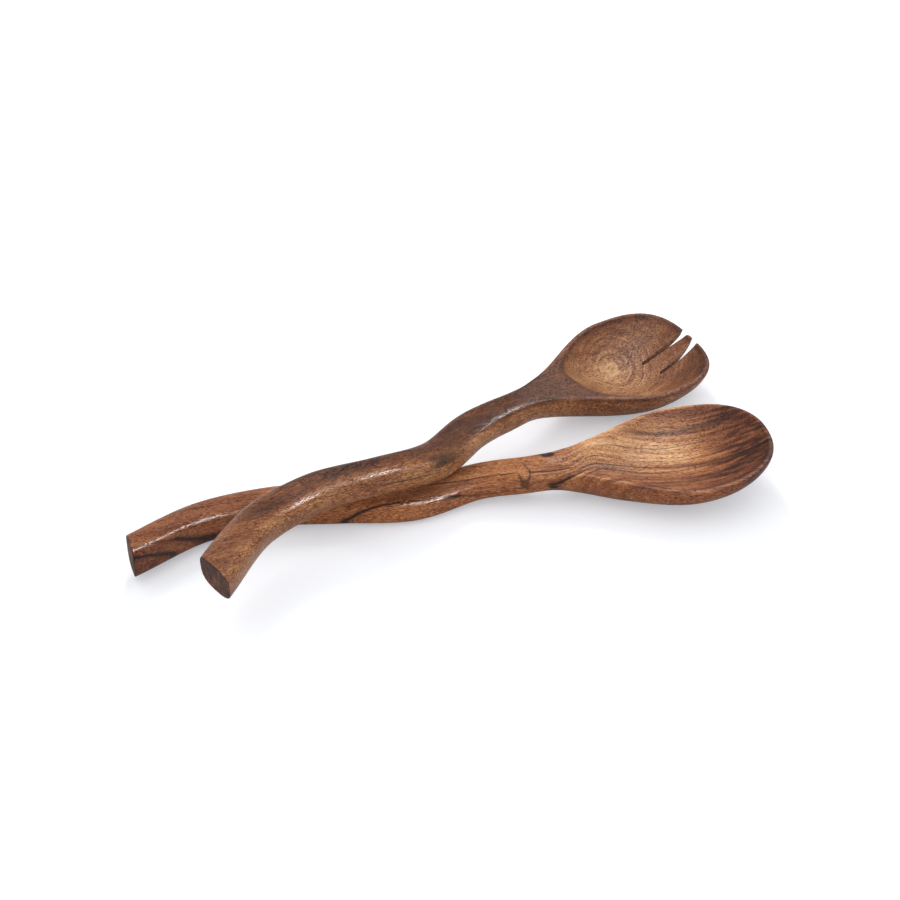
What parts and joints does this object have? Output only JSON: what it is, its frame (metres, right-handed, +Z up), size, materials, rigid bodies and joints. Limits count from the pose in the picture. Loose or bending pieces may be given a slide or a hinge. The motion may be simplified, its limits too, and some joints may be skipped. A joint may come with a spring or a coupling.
{
  "type": "salad servers",
  "caption": "Carved wooden salad servers: a serving spoon and a serving fork with waved handles, laid with the fork across the spoon.",
  "frame": {"origin": "on the table, under the middle of the pair's bounding box", "axes": "+X along the spoon from its handle's end to its bowl's tip, +Z up, +Y to the fork's bowl"},
  "size_m": [0.3116, 0.2028, 0.0404],
  "materials": {
    "spoon_wood": "oiled hardwood, warm red-brown with dark growth lines, soft sheen",
    "fork_wood": "oiled hardwood, mid brown with fine open pores and a swirl in the bowl, soft sheen"
  },
  "bodies": {
    "spoon": {"salad_spoon": "spoon_wood"},
    "fork": {"salad_fork": "fork_wood"}
  },
  "joints": [
    {"name": "fork_lift", "type": "slide", "parent": "spoon", "child": "fork", "axis": [0, 0, 1], "range_m": [0, 0.06]}
  ]
}
